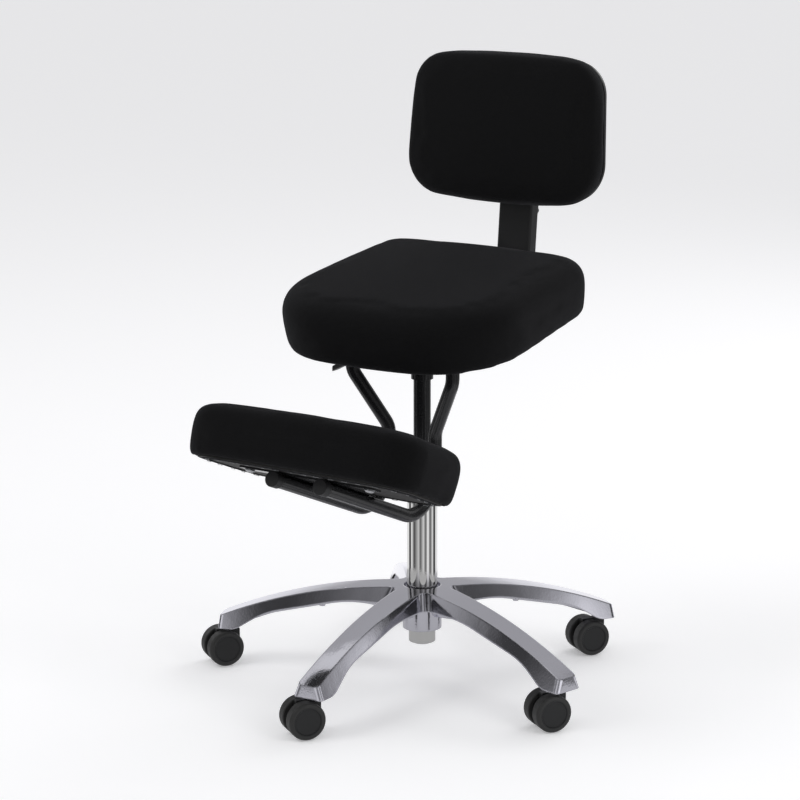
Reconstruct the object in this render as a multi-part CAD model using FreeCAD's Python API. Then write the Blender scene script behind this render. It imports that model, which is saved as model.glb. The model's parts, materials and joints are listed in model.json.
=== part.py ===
# A kneeling chair on a five-arm castor base. Millimetres; +Z is up and the floor is z = 0.
# The sitter faces -Y. Everything is placed round the column's axis and moved to the origin at the end.
import FreeCAD, Part
import math
import os

V = FreeCAD.Vector
UP = V(0, 0, 1)
AHEAD_X = V(1, 0, 0)
ALONG_Y = V(0, 1, 0)

# Where the column stands, seen from the middle of the chair's outline
column_x = 7.12
column_y = 23.30

# Star base
arm_count = 5
first_arm_deg = -87.7
hub_top = 157.0
hub_low = 84.0
hub_radius = 38.0
arm_crown_radius = 845.0
arm_start = 26.0
arm_tip = 346.0
arm_half_near = 23.6
arm_half_middle = 11.35
arm_half_far = -11.3
flank_lean = 0.375
arch_height = 128.0
arch_points = ((125.0, 128.0), (262.0, 96.5), (314.0, 64.0))
arch_radii = (260.0, 150.0, 45.0)
tip_low = 62.5
arm_wall = 4.5
arm_rib_drop = 7.0
arm_rib_thick = 5.0
arm_tip_round = 9.0
valley_round = 16.0
recess_radius = 30.5
recess_depth = 8.0

# Gas lift
lift_radius = 25.0
lift_wall = 2.0
lift_top = 345.0
lift_neck_radius = 22.0
lift_neck_height = 82.0
lift_low = 60.0
piston_radius = 14.0
piston_low = 255.0
cone_below_seat = 124.0
cone_height = 46.0
cone_top_radius = 13.0
rod_radius = 5.0
guide_length = 80.0
running_gap = 0.05
lift_travel = 120.0

# Castors
stem_circle = 325.0
castor_trail = 20.0
castor_heading_deg = 56.1
wheel_radius = 30.0
wheel_width = 20.0
wheel_gap = 14.0
tread_depth = 7.0
axle_radius = 3.0
axle_length = 44.0
stem_radius = 5.5
stem_depth = 23.0
shank_radius = 3.5
hood_thick = 12.0
hood_top = 60.5
hood_reach = 9.0

# Seat
seat_y = 15.0
seat_height = 626.0
seat_slope_deg = 8.2
seat_thick = 104.0
seat_half_front = 215.0
seat_half_rear = 196.0
seat_depth = 385.0
seat_round_front = 140.0
seat_round_rear = 50.0
board_thick = 10.0
pad_bow_radius = 900.0

# Backrest
back_y = 253.0
back_above_seat = 257.0
back_slope_deg = 84.5
back_thick = 63.0
back_half_low = 184.0
back_half_top = 172.0
back_tall = 234.0
back_round_low = 66.0
back_round_top = 58.0
shell_thick = 9.0

# Shin pad
shin_y = -268.6
shin_height = 435.5
shin_slope_deg = -22.9
shin_thick = 89.0
shin_half_front = 214.0
shin_half_rear = 196.0
shin_depth = 204.0
shin_round_front = 55.0
shin_round_rear = 52.0

# Frame tubes from the seat plate down to the shin pad
tube_radius = 11.0
tube_wall = 2.0
tube_top_x = 96.0
tube_top_y = -59.0
tube_low_x = 44.5
tube_low_y = -30.0
shoulder_below_seat = 109.0
elbow_above_foot = 153.6
tube_end_y = -347.5
tube_bend = 35.0
tube_foot_bend = 64.0
cross_plate_thick = 3.0
cap_radius = 12.6

# Mechanism and lever
plate_thick = 3.0
plate_half = 116.0
housing_radius = 18.0
channel_half_x = 42.0
channel_half_y = 24.0
channel_wall = 3.0
channel_below_seat = 90.0
lever_below_seat = 68.5
lever_pivot_x = -26.0
lever_rod_radius = 4.0
lever_out_x = -140.0
lever_out_drop = 36.5

# Back upright
bar_half = 25.0
bar_thick = 8.0
bar_start_y = 62.0
upright_y = 299.0
upright_slope_deg = 5.5
sleeve_half = 32.0
sleeve_deep = 26.0
sleeve_low = -102.0
sleeve_top = 28.0
slide_half = 20.0
slide_thick = 5.0
height_down = 30.0
knob_above_seat = 118.0
knob_radius = 22.0

# Heights that follow the seat
cone_low = seat_height - cone_below_seat
channel_low = seat_height - channel_below_seat
lever_height = seat_height - lever_below_seat
lever_out_height = lever_height - lever_out_drop
tube_shoulder = seat_height - shoulder_below_seat
knob_height = seat_height + knob_above_seat
back_height = seat_height + back_above_seat


def moved(shape, x=0.0, y=0.0, z=0.0, slope=0.0):
    "Copy of a shape turned about X, then moved."
    out = shape.copy()
    out.rotate(V(0, 0, 0), AHEAD_X, slope)
    out.translate(V(x, y, z))
    return out


def spun(shape, degrees, times=1):
    "Copy of a shape turned about the column."
    out = shape.copy()
    out.rotate(V(0, 0, 0), UP, degrees * times)
    return out


def rod(radius, start, stop):
    axis = stop - start
    return Part.makeCylinder(radius, axis.Length, start, axis)


def box(low, high):
    size = high - low
    return Part.makeBox(size.x, size.y, size.z, low)


def tangent_corner(before, here, after, radius):
    "Start, middle and end of the arc that rounds a corner."
    back = (before - here).normalize()
    on = (after - here).normalize()
    half = back.getAngle(on) / 2
    reach = radius / math.tan(half)
    centre = here + (back + on).normalize() * (radius / math.sin(half))
    return here + back * reach, centre + (here - centre).normalize() * radius, here + on * reach


def outline(corners, radii, height=0.0):
    "Closed wire at one height, every corner rounded."
    points = [V(x, y, height) for x, y in corners]
    count = len(points)
    arcs = [tangent_corner(points[i - 1], points[i], points[(i + 1) % count], radii[i]) for i in range(count)]
    edges = []
    for i in range(count):
        edges.append(Part.Arc(*arcs[i]).toShape())
        edges.append(Part.LineSegment(arcs[i][2], arcs[(i + 1) % count][0]).toShape())
    return Part.Wire(edges)


def slab(corners, radii, low, high):
    "Flat plate with rounded corners."
    return Part.Face(outline(corners, radii, low)).extrude(V(0, 0, high - low))


def rectangle(half_x, low_y, high_y):
    return [(-half_x, low_y), (half_x, low_y), (half_x, high_y), (-half_x, high_y)]


def pad_wire(half_front, half_rear, depth, round_front, round_rear, bow_front, bow_rear, inset, height):
    "A pad's outline with a bowed front and rear, all of it drawn in by the inset."
    near = (half_front - inset) / half_front
    far = (half_rear - inset) / half_rear
    front = -depth / 2 + inset
    rear = depth / 2 - inset
    corners = [(-half_front * near, front), (0, front - bow_front * near), (half_front * near, front),
               (half_rear * far, rear), (0, rear + bow_rear * far), (-half_rear * far, rear)]
    front_radii = [round_front * near, pad_bow_radius * near, round_front * near]
    rear_radii = [round_rear * far, pad_bow_radius * far, round_rear * far]
    return outline(corners, front_radii + rear_radii, height)


def pad(shape, low, high, low_round, top_round, crown):
    "Cushion with a domed crown, rounded over at its top and its underside."
    blank = Part.Face(pad_wire(*shape, 0, low)).extrude(V(0, 0, high - low))
    radius = shape[0] ** 2 / (2 * crown)
    dome = Part.makeSphere(radius)
    dome.rotate(V(0, 0, 0), AHEAD_X, 90)
    dome.translate(V(0, 0, high - radius))
    body = blank.common(dome)
    top = max(body.Faces, key=lambda f: f.CenterOfMass.z)
    body = body.makeFillet(top_round, top.OuterWire.Edges)
    return rounded(body, low_round, lambda e: e.BoundBox.ZMax < low + 0.01)


def pad_plate(shape, inset, low, high):
    "Flat board under a cushion."
    return Part.Face(pad_wire(*shape, inset, low)).extrude(V(0, 0, high - low))


def path(points, radii):
    "Straight runs joined by tangent arcs."
    edges = []
    last = points[0]
    for i in range(1, len(points) - 1):
        start, middle, stop = tangent_corner(points[i - 1], points[i], points[i + 1], radii[i - 1])
        edges.append(Part.LineSegment(last, start).toShape())
        edges.append(Part.Arc(start, middle, stop).toShape())
        last = stop
    edges.append(Part.LineSegment(last, points[-1]).toShape())
    return Part.Wire(edges)


def pipe(points, radii, radius):
    "Round bar along a path."
    spine = path(points, radii)
    ring = Part.Wire(Part.makeCircle(radius, points[0], points[1] - points[0]))
    return spine.makePipeShell([ring], True, False)


def turned(points, centre, axis):
    "Solid turned about an axis from radius and length pairs."
    axis = V(axis).normalize()
    side = axis.cross(V(0.3, 0.5, 0.81)).normalize()
    corners = [centre + side * radius + axis * length for radius, length in points]
    face = Part.Face(Part.makePolygon(corners + [corners[0]]))
    return face.revolve(centre, axis, 360)


def rounded(shape, radius, chosen):
    "Fillet on the edges that a test picks."
    edges = [e for e in shape.Edges if chosen(e)]
    return shape.makeFillet(radius, edges)


parts = {}


def on_seat(shape):
    return moved(shape, 0, seat_y, seat_height, seat_slope_deg)


def on_back(shape):
    return moved(shape, 0, back_y, back_height, back_slope_deg)


def on_shin(shape):
    return moved(shape, 0, shin_y, shin_height, shin_slope_deg)


# The cast star base
def crown_height(radius):
    return hub_top - arm_crown_radius + math.sqrt(arm_crown_radius ** 2 - radius ** 2)


def arch(lift):
    "Underside of an arm in the XZ plane, raised by a lift."
    points = [V(arm_start, 0, arch_height + lift)] + [V(x, 0, z + lift) for x, z in arch_points]
    return path(points + [V(arm_tip, 0, tip_low + lift)], arch_radii)


def arch_at(x):
    "Height of the arm's underside at a distance from the column."
    line = Part.makeLine(V(x, 0, 0), V(x, 0, 150))
    return arch(0).distToShape(line)[1][0][0].z


def flank_solid(inset, low, high):
    "Everything on the inner side of one leaning flank; the flank's plan is one long arc at the hub's height."
    rise_to = high - hub_top
    ends = []
    for x, half in ((10.0, arm_half_near), (185.0, arm_half_middle), (360.0, arm_half_far)):
        ends.append(V(x, half - inset - rise_to * flank_lean, high))
    curve = Part.Arc(*ends).toShape()
    far = Part.makePolygon([ends[2], V(360, -130, high), V(10, -130, high), ends[0]])
    drop = high - low
    return Part.Face(Part.Wire([curve, far])).extrude(V(0, drop * flank_lean, -drop))


def arm_body(profile, inset):
    "Profile of the XZ plane pulled across the arm and trimmed by both flanks."
    face = Part.Face(profile)
    body = face.extrude(V(0, 140, 0))
    body.translate(V(0, -70, 0))
    side = flank_solid(inset, 40, 160)
    return body.common(side).common(side.mirror(V(0, 0, 0), ALONG_Y))


def arm_blank():
    "One arm before its crown is cut, with the corners of its tip rounded."
    under = arch(0)
    closing = Part.makePolygon([V(arm_tip, 0, tip_low), V(arm_tip - 2.5, 0, 100), V(arm_tip - 6, 0, 160),
                                V(arm_start, 0, 160), V(arm_start, 0, arch_height)])
    arm = arm_body(Part.Wire(under.Edges + closing.Edges), 0)
    return rounded(arm, arm_tip_round, lambda e: all(v.X > arm_tip - 4 for v in e.Vertexes)
                   and abs(e.Vertexes[0].Z - e.Vertexes[-1].Z) > 10)


def arm_hollow():
    "The space under an arm between its two flanks."
    low = [V(54, 0, 60), V(300, 0, 60), V(300, 0, crown_height(300) - arm_wall)]
    middle = V(177, 0, crown_height(177) - arm_wall)
    crown = Part.Arc(low[2], middle, V(54, 0, crown_height(54) - arm_wall)).toShape()
    closing = Part.makePolygon([V(54, 0, crown_height(54) - arm_wall)] + low)
    return arm_body(Part.Wire(closing.Edges + [crown]), arm_wall)


def arm_rib():
    "The deep rib along the middle of an arm, with three cross ribs and a small round boss."
    reach = 300.0
    under = path([V(30, 0, hub_low + 24), V(120, 0, arch_height - arm_rib_drop),
                  V(256, 0, arch_at(256) - arm_rib_drop), V(reach, 0, arch_at(reach) - 1)], (200.0, 150.0))
    closing = Part.makePolygon([V(reach, 0, arch_at(reach) - 1),
                                V(reach, 0, crown_height(reach) - arm_wall + 1),
                                V(165, 0, crown_height(165) - arm_wall),
                                V(30, 0, crown_height(30) - arm_wall - 1), V(30, 0, hub_low + 24)])
    rib = Part.Face(Part.Wire(under.Edges + closing.Edges)).extrude(V(0, arm_rib_thick, 0))
    rib.translate(V(0, -arm_rib_thick / 2, 0))
    pieces = [rib]
    for x in (120.0, 182.0, 244.0):
        pieces.append(box(V(x - 2, -14, arch_at(x) + 1), V(x + 2, 14, crown_height(x) - arm_wall + 1)))
    boss_x = 170.0
    boss_low = V(boss_x, 0, arch_at(boss_x) - arm_rib_drop - 3)
    pieces.append(rod(5.0, boss_low, V(boss_x, 0, crown_height(boss_x) - 4)))
    return pieces


def star_base():
    step = 360.0 / arm_count
    blank = arm_blank()
    core = rod(hub_radius, V(0, 0, arch_height), V(0, 0, 160))
    outer = core.multiFuse([spun(blank, step, i) for i in range(arm_count)]).removeSplitter()

    def in_valley(edge):
        middle = edge.CenterOfMass
        turn = math.degrees(math.atan2(middle.y, middle.x)) % step
        return abs(turn - step / 2) < 0.5 and math.hypot(middle.x, middle.y) < 80 and \
            abs(edge.Vertexes[0].Z - edge.Vertexes[-1].Z) > 8

    outer = rounded(outer, valley_round, in_valley)
    crown = Part.makeSphere(arm_crown_radius, V(0, 0, hub_top - arm_crown_radius))
    outer = outer.common(crown)
    hollow = arm_hollow()
    base = outer.cut([spun(hollow, step, i) for i in range(arm_count)])
    extra = [rod(hub_radius - 6, V(0, 0, hub_low), V(0, 0, hub_top - recess_depth))]
    for piece in arm_rib():
        extra += [spun(piece, step, i) for i in range(arm_count)]
    base = base.multiFuse(extra)
    cuts = [rod(recess_radius, V(0, 0, hub_top - recess_depth), V(0, 0, hub_top + 5)),
            Part.makeCone(lift_neck_radius + 1.6 + 0.02, lift_radius + 0.02, hub_top - lift_neck_height,
                          V(0, 0, lift_neck_height), UP),
            rod(lift_neck_radius + 1.6, V(0, 0, hub_low - 5), V(0, 0, lift_neck_height))]
    for i in range(arm_count):
        low = V(stem_circle, 0, tip_low - 12)
        cuts.append(spun(rod(stem_radius, low, low + UP * (stem_depth + 12)), step, i))
    return base.cut(cuts)


parts["star_base"] = spun(star_base(), first_arm_deg)


# The gas lift
def lift_outer_tube():
    taper_low = lift_neck_radius + 1.6
    inner = lift_radius - lift_wall
    neck_inner = lift_neck_radius - lift_wall
    hole = rod_radius + 1.5
    shape = turned([(inner, lift_top), (lift_radius, lift_top), (lift_radius, hub_top),
                    (taper_low, lift_neck_height), (lift_neck_radius, lift_neck_height),
                    (lift_neck_radius, lift_low), (hole, lift_low), (hole, lift_low + 3),
                    (neck_inner, lift_low + 3), (neck_inner, lift_neck_height), (inner, hub_top)],
                   V(0, 0, 0), UP)
    return rounded(shape, 1.2, lambda e: abs(e.CenterOfMass.z - lift_low) < 0.01
                   and abs(e.Length - 2 * math.pi * lift_neck_radius) < 0.1)


parts["lift_outer_tube"] = lift_outer_tube()
guide_bore = piston_radius + running_gap
guide_low = lift_top - guide_length
parts["lift_guide"] = turned([(guide_bore, guide_low), (lift_radius - lift_wall, guide_low),
                              (lift_radius - lift_wall, lift_top), (lift_radius - 1, lift_top),
                              (lift_radius - 1, lift_top + 3), (guide_bore, lift_top + 3)], V(0, 0, 0), UP)
bearing_low = lift_low + 3
parts["lift_bearing"] = turned([(rod_radius, bearing_low), (17.0, bearing_low), (17.0, bearing_low + 8),
                                (rod_radius, bearing_low + 8)], V(0, 0, 0), UP)
head_low = piston_low + 17
bearing_top = bearing_low + 8
parts["lift_rod"] = turned([(0, lift_low - 4), (rod_radius, lift_low - 4), (rod_radius, bearing_top),
                            (10.0, bearing_top), (10.0, bearing_top + 4), (rod_radius, bearing_top + 4),
                            (rod_radius, head_low), (11.9, head_low), (11.9, head_low + 14),
                            (0, head_low + 14)], V(0, 0, 0), UP)
clip = turned([(rod_radius, lift_low - 2.6), (15.0, lift_low - 2.6), (15.0, lift_low - 0.1),
               (rod_radius, lift_low - 0.1)], V(0, 0, 0), UP)
parts["lift_clip"] = clip


def pressure_tube():
    inner = 12.0
    top = cone_low + cone_height
    bore = rod_radius + running_gap
    pin_bore = 4.0 + running_gap
    return turned([(bore, piston_low), (piston_radius, piston_low), (piston_radius, cone_low),
                   (cone_top_radius, top), (pin_bore, top), (pin_bore, top - 30), (inner, top - 30),
                   (inner, piston_low + 10), (bore, piston_low + 10)], V(0, 0, 0), UP)


parts["lift_piston"] = pressure_tube()
pin_top = lever_height - 4.5 - 0.1
parts["release_pin"] = turned([(0, pin_top - 22), (4.0, pin_top - 22), (4.0, pin_top - 0.6),
                               (3.4, pin_top), (0, pin_top)], V(0, 0, 0), UP)


# The castors
def castor_stem():
    low = hood_top - 25
    seat = tip_low
    top = seat + stem_depth
    return turned([(0, low), (shank_radius, low), (shank_radius, hood_top), (8.0, hood_top), (8.0, seat),
                   (stem_radius, seat), (stem_radius, top - 4), (stem_radius - 1.5, top), (0, top)],
                  V(0, 0, 0), UP)


def castor_hood():
    "Plate between the two wheels, carrying the axle and the stem."
    half = hood_thick / 2
    top = hood_top - 0.1
    reach = hood_reach
    disc = Part.makeCylinder(22.0, hood_thick, V(-castor_trail, -half, wheel_radius), ALONG_Y)
    neck = box(V(-castor_trail - 12, -half, wheel_radius), V(reach, half, top))
    neck = rounded(neck, 5.0, lambda e: abs(e.Length - hood_thick) < 0.01 and e.CenterOfMass.x > 0)
    body = disc.fuse(neck).removeSplitter()
    body = body.cut(rod(shank_radius + running_gap, V(0, 0, hood_top - 26), V(0, 0, hood_top + 1)))
    return body.cut(Part.makeCylinder(axle_radius, 60, V(-castor_trail, -30, wheel_radius), ALONG_Y))


def castor_axle():
    start = V(-castor_trail, -axle_length / 2, wheel_radius)
    return Part.makeCylinder(axle_radius, axle_length, start, ALONG_Y)


def castor_wheel(side):
    "Wheel body with a recessed outer disc; side is -1 or 1."
    centre = V(-castor_trail, side * wheel_gap / 2, wheel_radius)
    core = wheel_radius - tread_depth
    blind = (axle_length - wheel_gap) / 2 + 0.4
    wide = wheel_width
    bore = axle_radius + running_gap
    return turned([(bore, 0.8), (8.0, 0.8), (8.0, 3.0), (core - 3, 3.0), (core - 3, 0), (core, 0),
                   (core, wide), (core - 1.6, wide), (core - 2.4, wide - 1.2), (0, wide - 1.2), (0, blind),
                   (bore, blind)], centre, V(0, side, 0))


def castor_tyre(side):
    centre = V(-castor_trail, side * wheel_gap / 2, wheel_radius)
    core = wheel_radius - tread_depth
    wide = wheel_width
    tyre = turned([(core, 0), (wheel_radius, 0), (wheel_radius, wide), (core, wide)], centre, V(0, side, 0))
    outer = abs(centre.y) + wide
    tyre = rounded(tyre, 5.0, lambda e: abs(abs(e.CenterOfMass.y) - outer) < 0.01
                   and e.Length > 2 * math.pi * (wheel_radius - 0.5))
    return rounded(tyre, 2.0, lambda e: abs(abs(e.CenterOfMass.y) - abs(centre.y)) < 0.01
                   and e.Length > 2 * math.pi * (wheel_radius - 0.5))


def castor_places():
    step = 360.0 / arm_count
    for i in range(arm_count):
        turn = math.radians(first_arm_deg + step * i)
        yield i + 1, V(stem_circle * math.cos(turn), stem_circle * math.sin(turn), 0)


stems = []
for number, place in castor_places():
    def set_down(shape, at=place):
        out = spun(shape, castor_heading_deg)
        out.translate(at)
        return out

    stems.append(set_down(castor_stem()))
    parts["castor_%d_hood" % number] = set_down(castor_hood())
    parts["castor_%d_axle" % number] = set_down(castor_axle())
    for side, word in ((-1, "near"), (1, "far")):
        parts["castor_%d_wheel_%s" % (number, word)] = set_down(castor_wheel(side))
        parts["castor_%d_tyre_%s" % (number, word)] = set_down(castor_tyre(side))
parts["castor_stems"] = Part.makeCompound(stems)


# The seat
seat_low = -seat_thick / 2
seat_board_top = seat_low + board_thick
seat_shape = (seat_half_front, seat_half_rear, seat_depth, seat_round_front, seat_round_rear, 8, 4)
parts["seat_board"] = on_seat(pad_plate(seat_shape, 16, seat_low, seat_board_top))
parts["seat_cushion"] = on_seat(pad(seat_shape, seat_board_top, seat_thick / 2, 16, 33, 7))

# The backrest: its own x runs across, y up the back and z out of its front
back_low = -back_thick / 2
back_shape = (back_half_low, back_half_top, back_tall, back_round_low, back_round_top, 7.0, 4.0)
parts["back_shell"] = on_back(rounded(pad_plate(back_shape, 3, back_low, back_low + shell_thick), 4.0,
                                      lambda e: abs(e.CenterOfMass.z - back_low) < 0.01))
parts["back_cushion"] = on_back(pad(back_shape, back_low + shell_thick, back_thick / 2, 6, 17, 5))

# The shin pad
shin_low = -shin_thick / 2
shin_board_top = shin_low + board_thick
shin_shape = (shin_half_front, shin_half_rear, shin_depth, shin_round_front, shin_round_rear, 4.0, 3.0)
parts["shin_board"] = on_shin(pad_plate(shin_shape, 12, shin_low, shin_board_top))
parts["shin_cushion"] = on_shin(pad(shin_shape, shin_board_top, shin_thick / 2, 12, 20, 5))

# The frame tubes
lean = math.radians(-shin_slope_deg)
shin_up = V(0, math.sin(lean), math.cos(lean))
shin_under = V(0, shin_y, shin_height) - shin_up * (shin_thick / 2)
run_offset = cross_plate_thick + tube_radius
run_point = shin_under - shin_up * run_offset


def run_height(y):
    "Height of the tubes' axis under the shin pad."
    return run_point.z - (y - run_point.y) * math.tan(lean)


def frame_tube(side):
    foot = run_height(tube_low_y)
    points = [V(side * tube_top_x, tube_top_y, seat_height - 20),
              V(side * tube_top_x, tube_top_y, tube_shoulder),
              V(side * tube_low_x, tube_low_y, foot + elbow_above_foot),
              V(side * tube_low_x, tube_low_y, foot),
              V(side * tube_low_x, tube_end_y, run_height(tube_end_y))]
    radii = [tube_bend, tube_bend, tube_foot_bend]
    tube = pipe(points, radii, tube_radius).cut(pipe(points, radii, tube_radius - tube_wall))
    above = on_seat(box(V(-300, -300, seat_low - plate_thick), V(300, 300, 100)))
    return tube.cut(above)


def end_cap(side):
    "Plastic cap over the front end of a tube."
    end = V(side * tube_low_x, tube_end_y, run_height(tube_end_y))
    ahead = V(0, -math.cos(lean), math.sin(lean))
    cap = turned([(tube_radius, -13), (cap_radius, -13), (cap_radius, 3), (0, 3), (0, 0),
                  (tube_radius, 0)], end, ahead)
    return rounded(cap, 1.5, lambda e: e.Length > 2 * math.pi * cap_radius - 1
                   and (e.CenterOfMass - end).dot(ahead) > 2.9)


parts["frame_tube_left"] = frame_tube(1)
parts["frame_tube_right"] = frame_tube(-1)
parts["tube_end_caps"] = Part.makeCompound([end_cap(1), end_cap(-1)])

plate_low = shin_low - cross_plate_thick
cross = slab(rectangle(126, -44, -16), [6] * 4, plate_low, shin_low)
spine_plate = slab(rectangle(60, -44, 74), [8] * 4, plate_low, shin_low)
cross_plate = cross.fuse(spine_plate).removeSplitter()
shin_bolt_places = [(-112, -30), (112, -30), (-20, 58), (20, 58)]
screw_hole = 3.2
for x, y in shin_bolt_places:
    cross_plate = cross_plate.cut(rod(screw_hole, V(x, y, plate_low - 1), V(x, y, shin_low + 1)))
parts["shin_cross_plate"] = on_shin(cross_plate)


def dome_screw(radius, head, grip):
    "Screw with a domed head; the head's underside is z = 0 and the shank goes up."
    return turned([(0, -0.55 * head), (0.6 * head, -0.5 * head), (head, -0.2 * head), (head, 0), (radius, 0),
                   (radius, grip), (0, grip)], V(0, 0, 0), UP)


shin_screws = []
for x, y in shin_bolt_places:
    shin_screws.append(on_shin(moved(dome_screw(3.0, 8.0, 9.5), x, y, plate_low)))
shin_board = parts["shin_board"]
for x, y in shin_bolt_places:
    shin_board = shin_board.cut(on_shin(rod(3.0, V(x, y, shin_low - 1), V(x, y, plate_low + 9.5))))
parts["shin_board"] = shin_board
parts["shin_screws"] = Part.makeCompound(shin_screws)


# The seat mechanism
def mechanism():
    top = seat_low
    low = seat_low - plate_thick
    plate = slab(rectangle(plate_half, -118, 84), [14] * 4, low, top)
    for x, y in seat_bolt_places:
        plate = plate.cut(rod(4.2, V(x, y, low - 1), V(x, y, top + 1)))
    plate = on_seat(plate)
    above = on_seat(box(V(-300, -300, low), V(300, 300, 200)))
    walls = box(V(-channel_half_x, -channel_half_y, channel_low),
                V(channel_half_x, channel_half_y, seat_height))
    walls = walls.cut(box(V(-100, -channel_half_y + channel_wall, channel_low - 1),
                          V(100, channel_half_y - channel_wall, seat_height + 20)))
    web = box(V(-channel_half_x, -channel_half_y, channel_low),
              V(channel_half_x, channel_half_y, channel_low + 3))
    socket = rod(housing_radius, V(0, 0, cone_low + 1), V(0, 0, channel_low + 3))
    body = walls.fuse([web, socket]).cut(above)
    body = body.fuse(plate).removeSplitter()
    bore = Part.makeCone(piston_radius, cone_top_radius, cone_height, V(0, 0, cone_low), UP)
    body = body.cut(bore)
    body = body.cut(rod(cone_top_radius, V(0, 0, channel_low), V(0, 0, channel_low + 14)))
    pivot = V(lever_pivot_x, 0, lever_height)
    return body.cut(rod(3.0 + running_gap, pivot - ALONG_Y * 40, pivot + ALONG_Y * 40))


seat_bolt_places = [(-70, -102), (70, -102), (-98, 62), (98, 62)]
parts["seat_mechanism"] = mechanism()


def lever_rod():
    "Bent rod with a cross pin that turns in the channel's walls and a nose over the release pin."
    points = [V(4, 0, lever_height), V(lever_pivot_x - 22, 0, lever_height),
              V(lever_pivot_x - 54, 0, lever_out_height + 3), V(lever_out_x, 0, lever_out_height)]
    bar = pipe(points, [14, 14], lever_rod_radius)
    pivot = V(lever_pivot_x, 0, lever_height)
    cross_pin = rod(3.0, pivot - ALONG_Y * channel_half_y, pivot + ALONG_Y * channel_half_y)
    eye = rod(6.0, pivot - ALONG_Y * 8, pivot + ALONG_Y * 8)
    nose = rod(4.5, V(0, -5, lever_height), V(0, 5, lever_height))
    return bar.multiFuse([cross_pin, eye, nose])


parts["lever_rod"] = lever_rod()
paddle = slab([(-19, -9), (19, -9), (19, 9), (-19, 9)], [7] * 4, -5.5, 5.5)
paddle = rounded(paddle, 2.5, lambda e: abs(abs(e.CenterOfMass.z) - 5.5) < 0.01)
paddle.rotate(V(0, 0, 0), AHEAD_X, 90)
paddle.translate(V(lever_out_x - 6, 0, lever_out_height))
parts["lever_paddle"] = paddle.cut(parts["lever_rod"])


# The back upright
def seat_point(y, z):
    "Point of the seat's own frame in the chair's frame."
    slope = math.radians(seat_slope_deg)
    return V(0, seat_y + y * math.cos(slope) - z * math.sin(slope),
             seat_height + y * math.sin(slope) + z * math.cos(slope))


def on_upright(shape):
    "From the upright's own frame, z = 0 at the knob, to the chair's frame."
    return moved(shape, 0, upright_y, knob_height, -upright_slope_deg)


upright = math.radians(upright_slope_deg)
rise = V(0, math.sin(upright), math.cos(upright))
across = V(0, math.cos(upright), -math.sin(upright))
knob_point = V(0, upright_y, knob_height)


def flat_bar(points, radii, half, thick):
    "Flat bar bent along a path in the YZ plane."
    spine = path(points, radii)
    direction = (points[1] - points[0]).normalize()
    normal = AHEAD_X.cross(direction).normalize() * (thick / 2)
    side = AHEAD_X * half
    start = points[0]
    ring = Part.makePolygon([start + side + normal, start - side + normal, start - side - normal,
                             start + side - normal, start + side + normal])
    return spine.makePipeShell([ring], True, False)


def meet(p, d, q, e):
    "Where two lines of the YZ plane cross."
    t = ((q.y - p.y) * e.z - (q.z - p.z) * e.y) / (d.y * e.z - d.z * e.y)
    return p + d * t


bar_mid = 5.0
bar_top = sleeve_top - 6
bar_slope = math.radians(seat_slope_deg)
bar_start = seat_point(bar_start_y - 14, seat_low - plate_thick - bar_thick / 2)
bar_heel = meet(bar_start, V(0, math.cos(bar_slope), math.sin(bar_slope)),
                knob_point + across * bar_mid, rise)
bar_stop = knob_point + across * bar_mid + rise * bar_top
j_bar = flat_bar([bar_start, bar_heel, bar_stop], [34], bar_half, bar_thick)
stud_radius = 5.0
j_bar = j_bar.cut(on_upright(rod(stud_radius + running_gap, V(0, 0, 0), V(0, 30, 0))))
bar_bolt_places = [(-14, 58), (14, 58), (-14, 76), (14, 76)]
mech = parts["seat_mechanism"]
board = parts["seat_board"]
seat_bolts = []
for x, y in bar_bolt_places:
    j_bar = j_bar.cut(on_seat(rod(4.2, V(x, y, seat_low - 40), V(x, y, seat_low + 5))))
    mech = mech.cut(on_seat(rod(4.2, V(x, y, seat_low - plate_thick - 1), V(x, y, seat_low))))
    under = seat_low - plate_thick - bar_thick
    board = board.cut(on_seat(rod(4.0, V(x, y, seat_low), V(x, y, under + 20))))
    seat_bolts.append(on_seat(moved(dome_screw(4.0, 7.0, 20.0), x, y, under)))
for x, y in seat_bolt_places:
    under = seat_low - plate_thick
    board = board.cut(on_seat(rod(4.0, V(x, y, seat_low), V(x, y, under + 12))))
    seat_bolts.append(on_seat(moved(dome_screw(4.0, 8.0, 12.0), x, y, under)))
parts["back_j_bar"] = j_bar
parts["seat_mechanism"] = mech
parts["seat_board"] = board
parts["seat_bolts"] = Part.makeCompound(seat_bolts)

# The sleeve takes the bent bar in its rear slot and the backrest's slide bar in its front one
sleeve_front = -14.0
sleeve_rear = sleeve_front + sleeve_deep
slide_front = -8.0
slide_rear = slide_front + slide_thick
slot_floor = sleeve_low + 8
sleeve = box(V(-sleeve_half, sleeve_front, sleeve_low), V(sleeve_half, sleeve_rear, sleeve_top))
sleeve = rounded(sleeve, 5.0, lambda e: e.Length > sleeve_top - sleeve_low - 1)
sleeve = sleeve.cut(box(V(-bar_half, bar_mid - bar_thick / 2, sleeve_low - 5),
                        V(bar_half, bar_mid + bar_thick / 2, bar_top + 0.5)))
sleeve = sleeve.cut(box(V(-slide_half - 0.1, slide_front - 0.1, slot_floor),
                        V(slide_half + 0.1, slide_rear + 0.1, sleeve_top + 5)))
sleeve = sleeve.cut(rod(stud_radius + running_gap, V(0, slide_rear, 0), V(0, 30, 0)))
parts["upright_sleeve"] = on_upright(sleeve)


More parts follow.
